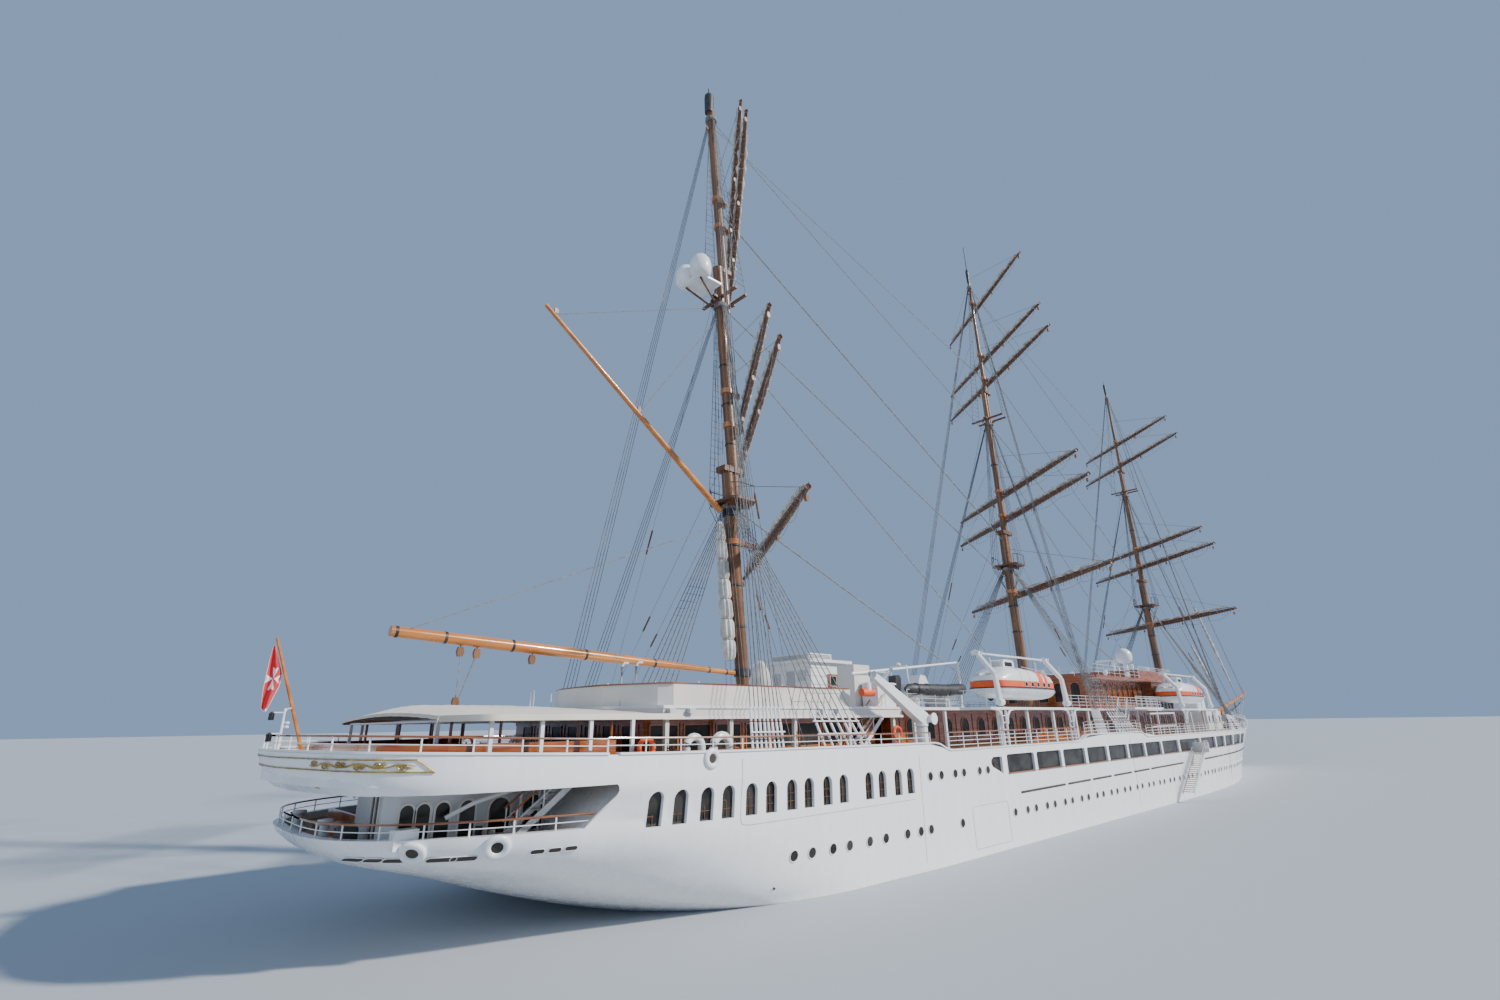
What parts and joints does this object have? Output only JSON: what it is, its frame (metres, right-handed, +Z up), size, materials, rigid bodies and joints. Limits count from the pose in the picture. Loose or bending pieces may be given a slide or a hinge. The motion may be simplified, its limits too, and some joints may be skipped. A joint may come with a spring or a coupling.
{
  "type": "three-masted square-rigged passenger sailing ship, 1:10 scale model",
  "caption": "Scale model of a full-rigged passenger sailing ship with furled sails, braceable yards, swinging lifeboat davits, rudder and propeller.",
  "frame": {"origin": "on the waterline, on the centreline, amidships", "axes": "+X to the bow, +Y to port, +Z up"},
  "size_m": [13.8184, 2.0453, 6.3351],
  "materials": {
    "white_paint": "satin",
    "cream_paint": "satin",
    "varnish": "gloss varnish",
    "spar_paint": "satin",
    "teak": "bare, scrubbed",
    "canvas": "woven",
    "rope": "tarred wire",
    "bronze": "polished",
    "boat_shell": "gloss",
    "black_rubber": "matt",
    "red_bunting": "woven"
  },
  "bodies": {
    "ship": {"hull": "white_paint", "stern": "white_paint", "bulwark": "white_paint", "deck": "teak", "aft_house": "varnish", "sun_deck": "cream_paint", "service_house": "white_paint", "main_house": "varnish", "boat_deck": "white_paint", "bridge_house": "varnish", "bridge_roof": "white_paint", "fore_house": "white_paint", "windlass": "white_paint", "awning": "canvas", "awning_frame": "white_paint", "stern_bench": "varnish", "mizzen_mast": "spar_paint", "main_mast": "spar_paint", "fore_mast": "spar_paint", "bowsprit": "spar_paint", "rigging_mizzen": "rope", "rigging_main": "rope", "rigging_fore": "rope", "spanker_sail": "canvas", "crane_base": "white_paint", "rescue_boat": "black_rubber", "flagstaff": "spar_paint", "ensign": "red_bunting", "mizzen_radomes": "white_paint", "gangway_platform": "white_paint"},
    "mizzen_course_yard": {"mizzen_course_yard": "spar_paint"},
    "mizzen_lower_topsail_yard": {"mizzen_lower_topsail_yard": "spar_paint"},
    "mizzen_upper_topsail_yard": {"mizzen_upper_topsail_yard": "spar_paint"},
    "mizzen_lower_topgallant_yard": {"mizzen_lower_topgallant_yard": "spar_paint"},
    "mizzen_upper_topgallant_yard": {"mizzen_upper_topgallant_yard": "spar_paint"},
    "main_course_yard": {"main_course_yard": "spar_paint"},
    "main_lower_topsail_yard": {"main_lower_topsail_yard": "spar_paint"},
    "main_upper_topsail_yard": {"main_upper_topsail_yard": "spar_paint"},
    "main_lower_topgallant_yard": {"main_lower_topgallant_yard": "spar_paint"},
    "main_upper_topgallant_yard": {"main_upper_topgallant_yard": "spar_paint"},
    "main_royal_yard": {"main_royal_yard": "spar_paint"},
    "fore_course_yard": {"fore_course_yard": "spar_paint"},
    "fore_lower_topsail_yard": {"fore_lower_topsail_yard": "spar_paint"},
    "fore_upper_topsail_yard": {"fore_upper_topsail_yard": "spar_paint"},
    "fore_lower_topgallant_yard": {"fore_lower_topgallant_yard": "spar_paint"},
    "fore_upper_topgallant_yard": {"fore_upper_topgallant_yard": "spar_paint"},
    "spanker_boom": {"spanker_boom": "spar_paint"},
    "spanker_gaff": {"spanker_gaff": "spar_paint"},
    "rudder": {"rudder": "white_paint"},
    "propeller": {"propeller": "bronze"},
    "davits_aft_starboard": {"davits_aft_starboard": "white_paint"},
    "lifeboat_aft_starboard": {"lifeboat_aft_starboard": "boat_shell"},
    "davits_aft_port": {"davits_aft_port": "white_paint"},
    "lifeboat_aft_port": {"lifeboat_aft_port": "boat_shell"},
    "davits_fore_starboard": {"davits_fore_starboard": "white_paint"},
    "lifeboat_fore_starboard": {"lifeboat_fore_starboard": "boat_shell"},
    "davits_fore_port": {"davits_fore_port": "white_paint"},
    "lifeboat_fore_port": {"lifeboat_fore_port": "boat_shell"},
    "crane_arm": {"crane_arm": "white_paint"},
    "gangway": {"gangway": "white_paint"}
  },
  "joints": [
    {"name": "mizzen_course_brace", "type": "hinge", "parent": "ship", "child": "mizzen_course_yard", "pos_m": [-3.728, 0, 1.72], "axis": [0, 0, 1], "range_deg": [-3, 72]},
    {"name": "mizzen_lower_topsail_brace", "type": "hinge", "parent": "ship", "child": "mizzen_lower_topsail_yard", "pos_m": [-3.7464, 0, 2.48], "axis": [0, 0, 1], "range_deg": [-3, 72]},
    {"name": "mizzen_upper_topsail_brace", "type": "hinge", "parent": "ship", "child": "mizzen_upper_topsail_yard", "pos_m": [-3.7671, 0, 2.71], "axis": [0, 0, 1], "range_deg": [-3, 72]},
    {"name": "mizzen_lower_topgallant_brace", "type": "hinge", "parent": "ship", "child": "mizzen_lower_topgallant_yard", "pos_m": [-3.83005, 0, 3.965], "axis": [0, 0, 1], "range_deg": [-3, 72]},
    {"name": "mizzen_upper_topgallant_brace", "type": "hinge", "parent": "ship", "child": "mizzen_upper_topgallant_yard", "pos_m": [-3.84985, 0, 4.185], "axis": [0, 0, 1], "range_deg": [-3, 72]},
    {"name": "main_course_brace", "type": "hinge", "parent": "ship", "child": "main_course_yard", "pos_m": [-0.1796, 0, 1.84], "axis": [0, 0, 1], "range_deg": [-3, 72]},
    {"name": "main_lower_topsail_brace", "type": "hinge", "parent": "ship", "child": "main_lower_topsail_yard", "pos_m": [-0.1524, 0, 2.6], "axis": [0, 0, 1], "range_deg": [-3, 72]},
    {"name": "main_upper_topsail_brace", "type": "hinge", "parent": "ship", "child": "main_upper_topsail_yard", "pos_m": [-0.1599, 0, 2.85], "axis": [0, 0, 1], "range_deg": [-3, 72]},
    {"name": "main_lower_topgallant_brace", "type": "hinge", "parent": "ship", "child": "main_lower_topgallant_yard", "pos_m": [-0.148, 0, 4.12], "axis": [0, 0, 1], "range_deg": [-3, 72]},
    {"name": "main_upper_topgallant_brace", "type": "hinge", "parent": "ship", "child": "main_upper_topgallant_yard", "pos_m": [-0.1564, 0, 4.4], "axis": [0, 0, 1], "range_deg": [-3, 72]},
    {"name": "main_royal_brace", "type": "hinge", "parent": "ship", "child": "main_royal_yard", "pos_m": [-0.1756, 0, 5.04], "axis": [0, 0, 1], "range_deg": [-3, 72]},
    {"name": "fore_course_brace", "type": "hinge", "parent": "ship", "child": "fore_course_yard", "pos_m": [3.66, 0, 1.86], "axis": [0, 0, 1], "range_deg": [-3, 72]},
    {"name": "fore_lower_topsail_brace", "type": "hinge", "parent": "ship", "child": "fore_lower_topsail_yard", "pos_m": [3.71, 0, 2.65], "axis": [0, 0, 1], "range_deg": [-3, 72]},
    {"name": "fore_upper_topsail_brace", "type": "hinge", "parent": "ship", "child": "fore_upper_topsail_yard", "pos_m": [3.71, 0, 2.89], "axis": [0, 0, 1], "range_deg": [-3, 72]},
    {"name": "fore_lower_topgallant_brace", "type": "hinge", "parent": "ship", "child": "fore_lower_topgallant_yard", "pos_m": [3.76, 0, 4.18], "axis": [0, 0, 1], "range_deg": [-3, 72]},
    {"name": "fore_upper_topgallant_brace", "type": "hinge", "parent": "ship", "child": "fore_upper_topgallant_yard", "pos_m": [3.76, 0, 4.5], "axis": [0, 0, 1], "range_deg": [-3, 72]},
    {"name": "boom_swing", "type": "hinge", "parent": "ship", "child": "spanker_boom", "pos_m": [-3.725, 0, 0.96], "axis": [0, 0, 1], "range_deg": [-40, 40]},
    {"name": "gaff_swing", "type": "hinge", "parent": "ship", "child": "spanker_gaff", "pos_m": [-3.825, 0, 1.9], "axis": [0, 0, 1], "range_deg": [-40, 40]},
    {"name": "rudder_turn", "type": "hinge", "parent": "ship", "child": "rudder", "pos_m": [-4.94, 0, -0.34], "axis": [0, 0, 1], "range_deg": [-35, 35]},
    {"name": "propeller_spin", "type": "hinge", "parent": "ship", "child": "propeller", "pos_m": [-4.68, 0, -0.34], "axis": [1, 0, 0], "continuous": true},
    {"name": "davits_aft_starboard_swing", "type": "hinge", "parent": "ship", "child": "davits_aft_starboard", "pos_m": [-1.775, -0.82, 0.79], "axis": [1, 0, 0], "range_deg": [0, 60]},
    {"name": "lifeboat_aft_starboard_level", "type": "hinge", "parent": "davits_aft_starboard", "child": "lifeboat_aft_starboard", "pos_m": [-1.775, -0.7, 1.095], "axis": [1, 0, 0], "range_deg": [-60, 0]},
    {"name": "davits_aft_port_swing", "type": "hinge", "parent": "ship", "child": "davits_aft_port", "pos_m": [-1.775, 0.82, 0.79], "axis": [-1, 0, 0], "range_deg": [0, 60]},
    {"name": "lifeboat_aft_port_level", "type": "hinge", "parent": "davits_aft_port", "child": "lifeboat_aft_port", "pos_m": [-1.775, 0.7, 1.095], "axis": [-1, 0, 0], "range_deg": [-60, 0]},
    {"name": "davits_fore_starboard_swing", "type": "hinge", "parent": "ship", "child": "davits_fore_starboard", "pos_m": [1.82, -0.82, 0.79], "axis": [1, 0, 0], "range_deg": [0, 60]},
    {"name": "lifeboat_fore_starboard_level", "type": "hinge", "parent": "davits_fore_starboard", "child": "lifeboat_fore_starboard", "pos_m": [1.82, -0.7, 1.095], "axis": [1, 0, 0], "range_deg": [-60, 0]},
    {"name": "davits_fore_port_swing", "type": "hinge", "parent": "ship", "child": "davits_fore_port", "pos_m": [1.82, 0.82, 0.79], "axis": [-1, 0, 0], "range_deg": [0, 60]},
    {"name": "lifeboat_fore_port_level", "type": "hinge", "parent": "davits_fore_port", "child": "lifeboat_fore_port", "pos_m": [1.82, 0.7, 1.095], "axis": [-1, 0, 0], "range_deg": [-60, 0]},
    {"name": "crane_slew", "type": "hinge", "parent": "ship", "child": "crane_arm", "pos_m": [-3.095, -0.79, 0.68], "axis": [0, 0, 1], "range_deg": [0, 180]},
    {"name": "gangway_hoist", "type": "hinge", "parent": "ship", "child": "gangway", "pos_m": [1.105, -0.94, 0.368], "axis": [0, 1, 0], "range_deg": [-8, 29]}
  ],
  "couplings": [
    {"joint": "lifeboat_aft_starboard_level", "follows": "davits_aft_starboard_swing", "ratio": -1},
    {"joint": "lifeboat_aft_port_level", "follows": "davits_aft_port_swing", "ratio": -1},
    {"joint": "lifeboat_fore_starboard_level", "follows": "davits_fore_starboard_swing", "ratio": -1},
    {"joint": "lifeboat_fore_port_level", "follows": "davits_fore_port_swing", "ratio": -1}
  ]
}
